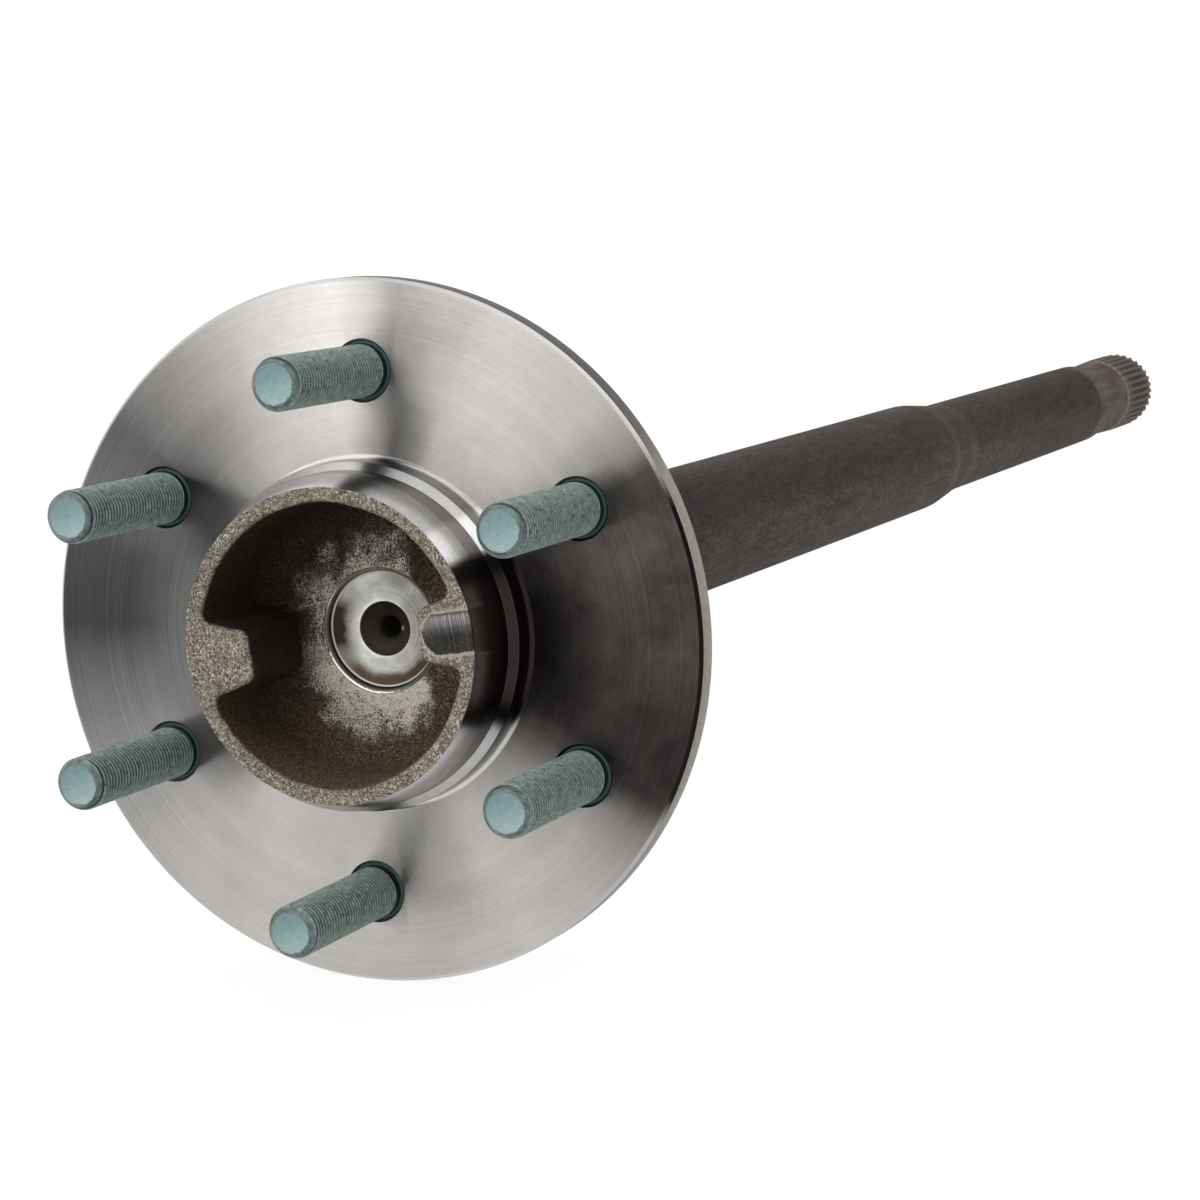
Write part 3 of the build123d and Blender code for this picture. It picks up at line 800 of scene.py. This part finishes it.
def studFinish(number, across, up):
    f = Finish(f"platedStud{number + 1}")
    side, rise = f.x - across, f.z - up
    reach, tipY = side.distance(rise), -studs["reach"]
    mottle, fine = f.place.noise(1.8, 4.0, 0.65), f.place.noise(0.5, 2.0, 0.6)
    plate = (mottle * 0.6 + fine * 0.4).ramp((0.34, (0.155, 0.215, 0.195)), (0.5, (0.235, 0.308, 0.278)),
                                             (0.64, (0.42, 0.49, 0.45)))
    # painted shade in the roots of the thread, and dark worn patches
    root = 1 - reach.rise(studs["major"] - 0.6, studs["major"] - 0.1)
    thread = f.y.band(tipY + 1.5, -1.0, 0.3)
    worn = f.place.noise(1.6, 3.0, 0.6).rise(0.56, 0.66)
    color = (root * thread * 0.96).mix(plate.tint(1 - 0.5 * worn), (0.014, 0.026, 0.027))
    # the neck in painted shade, and the shoulder
    neck = f.y.band(-1.15, 1.5, 0.15)
    color = neck.mix(color, reach.rise(7.1, 7.5).mix((0.012, 0.03, 0.032), (0.07, 0.14, 0.145)))
    # the chamfer, and the end face with its worn edge and painted light, lighter towards the bottom
    chamfer = 1 - f.y.rise(tipY + 0.9, tipY + 1.5)
    color = chamfer.mix(color, mottle.ramp((0.35, (0.07, 0.115, 0.115)), (0.65, (0.2, 0.28, 0.27))))
    tipFace = 1 - f.y.rise(tipY + 0.04, tipY + 0.12)
    # painted light: the end face is lighter towards its lower side
    low = 1 - (rise - side * 0.4).rise(-6.0, 5.0)
    endFaceAndPaintedLight = (0.25 + low * 0.5 + fine.swing(0.5) + mottle.swing(0.5)).ramp(
        (0.2, (0.22, 0.355, 0.36)), (0.6, (0.36, 0.52, 0.52)), (0.9, (0.55, 0.67, 0.64)))
    edge = reach.rise(studs["tip"] - 0.45, studs["tip"] - 0.1) * mottle.rise(0.42, 0.58)
    color = tipFace.mix(color, edge.mix(endFaceAndPaintedLight, (0.24, 0.22, 0.16)))
    return f.shader(color, 0.38 + 0.2 * fine, 0.3, (mottle + fine).bump(0.3, 0.08))


# one pitch of the thread, swept along its helix
pitch, crest, flank = studs["pitch"], studs["pitch"] * studs["crest"], studs["pitch"] * studs["flank"]
points = [(studs["major"], 0), (studs["major"], -crest), (studs["minor"], -crest - flank),
          (studs["minor"], -pitch + flank), (studs["major"], -pitch)]
stud = bmesh.new()
verts = [stud.verts.new((r * mm, (length + pitch) * mm, 0)) for r, length in points]
edges = [stud.edges.new(pair) for pair in zip(verts, verts[1:])]
bmesh.ops.spin(stud, geom=verts + edges, cent=(0, 0, 0), axis=(0, 1, 0), angle=2 * pi,
               steps=studs["turnSteps"], dvec=(0, -pitch * mm / studs["turnSteps"], 0))
# then as many turns as the reach needs, cut off flat at both ends
oneTurn = stud.verts[:] + stud.edges[:] + stud.faces[:]
for turn in range(1, int(studs["reach"] / pitch) + 2):
    copied = bmesh.ops.duplicate(stud, geom=oneTurn)["geom"]
    verts = [v for v in copied if isinstance(v, bmesh.types.BMVert)]
    bmesh.ops.translate(stud, verts=verts, vec=(0, -turn * pitch * mm, 0))
bmesh.ops.remove_doubles(stud, verts=stud.verts, dist=0.01 * mm)
for endY, facing in ((-studs["threadEnd"], 1), (-studs["reach"] + studs["tipBack"], -1)):
    bmesh.ops.bisect_plane(stud, geom=stud.verts[:] + stud.edges[:] + stud.faces[:],
                           plane_co=(0, endY * mm, 0), plane_no=(0, facing, 0), clear_outer=True)
# the chamfer at the tip and the run-out at the neck
for vert in stud.verts:
    y, radius = vert.co.y / mm, hypot(vert.co.x, vert.co.z) / mm
    limit = studs["tip"] + y + studs["reach"]
    ran = max(0, min(1, (y + studs["runOutStart"]) / studs["runOutLength"]))
    new = max(min(radius, limit), min(studs["minor"] + studs["runOut"] * ran, limit))
    vert.co.x *= new / radius
    vert.co.z *= new / radius
openEdges = [e for e in stud.edges if e.is_boundary and e.verts[0].co.y < -studs["reach"] * 0.9 * mm]
bmesh.ops.edgeloop_fill(stud, edges=openEdges)
# the head behind the flange, the shoulder in the hole and the neck
back = flange["thickness"]
headEnd = back + studs["headThickness"]
solid = lathe([(0, headEnd), (studs["head"] - studs["headChamfer"], headEnd),
               (studs["head"], headEnd - studs["headChamfer"]), (studs["head"], back),
               (studs["shoulder"], back),
               (studs["shoulder"], studs["sink"] + studs["shoulderChamfer"]),
               (studs["shoulder"] - studs["shoulderChamfer"], studs["sink"]), *studs["neck"]], studs["steps"])
solidData = toData("solid", solid)
stud.from_mesh(solidData)
bpy.data.meshes.remove(solidData)
bmesh.ops.recalc_face_normals(stud, faces=stud.faces)
studData = toData("stud", stud)
for number in range(studs["count"]):
    across, up = studPlace(number)
    stud = bmesh.new()
    stud.from_mesh(studData)
    place = Matrix.Translation((across * mm, 0, up * mm)) @ Matrix.Rotation(number * studs["turned"], 4, "Y")
    bmesh.ops.transform(stud, matrix=place, verts=stud.verts)
    makePiece(f"stud{number + 1}", stud, studFinish(number, across, up),
              f"wheel_stud_{number + 1}", smooth=35)

print("studio")
studio = {
    "floor": -94.32,
    # from here on metres and watts
    "floorReach": 12, "floorTone": 0.8, "glow": 1.1, "nearGlow": 0.85, "farStart": 1.3, "farEnd": 2.6,
    "sky": 0.45,
    "lamps": [
        {"name": "keyLight", "place": (-1.6, -2.4, 2.2), "target": (0, 0, 0),
         "size": (4.5, 4.0), "power": 28},
        {"name": "topLight", "place": (0.2, 0.5, 2.4), "target": (0, 0.4, 0),
         "size": (4.5, 4.5), "power": 32},
    ],
}


# 1 for rays of the kinds that are named
def raysOf(base, *kinds):
    seen = base.node("ShaderNodeLightPath", out=kinds[0])
    for kind in kinds[1:]:
        seen = seen.most(base.node("ShaderNodeLightPath", out=kind))
    return seen


ground = bmesh.new()
bmesh.ops.create_grid(ground, x_segments=1, y_segments=1, size=studio["floorReach"])
bmesh.ops.translate(ground, verts=ground.verts, vec=(0, 0, studio["floor"] * mm))
floor = bpy.data.objects.new("floor", toData("floor", ground))
bpy.context.scene.collection.objects.link(floor)
paint = bpy.data.materials.new("paleFloor")
paint.use_nodes = True
paint.node_tree.nodes.clear()
base = Shade(paint.node_tree)
pale = base.node("ShaderNodeBsdfDiffuse", {}, {"Color": studio["floorTone"]})
glow = base.node("ShaderNodeEmission", {}, {"Color": 1, "Strength": studio["glow"]})
# far away it is as white as the background
place = base.node("ShaderNodeTexCoord", out="Object")
far = base.node("ShaderNodeVectorMath", {"operation": "LENGTH"}, {0: place}, out=1)
white = studio["nearGlow"] + (1 - studio["nearGlow"]) * far.rise(studio["farStart"], studio["farEnd"])
shown = raysOf(base, "Is Camera Ray", "Is Glossy Ray") * white
both = base.node("ShaderNodeMixShader", {}, {0: shown, 1: pale, 2: glow})
base.node("ShaderNodeOutputMaterial", {}, {"Surface": both})
floor.data.materials.append(paint)

# a white world that lights the object at a plain level
world = bpy.data.worlds.new("studio")
bpy.context.scene.world = world
world.use_nodes = True
world.node_tree.nodes.clear()
base = Shade(world.node_tree)
seen = raysOf(base, "Is Camera Ray", "Is Glossy Ray", "Is Transmission Ray")
level = seen * (1 - studio["sky"]) + studio["sky"]
light = base.node("ShaderNodeBackground", {}, {"Color": 1, "Strength": level})
base.node("ShaderNodeOutputWorld", {}, {"Surface": light})


def softbox(name, place, target, size, power):
    lamp = bpy.data.objects.new(name, bpy.data.lights.new(name, "AREA"))
    lamp.data.shape = "RECTANGLE"
    lamp.data.size, lamp.data.size_y = size
    lamp.data.energy = power
    direction = Vector(target) - Vector(place)
    lamp.matrix_world = Matrix.Translation(place) @ direction.to_track_quat("-Z", "Y").to_matrix().to_4x4()
    bpy.context.scene.collection.objects.link(lamp)


for lamp in studio["lamps"]:
    softbox(**lamp)
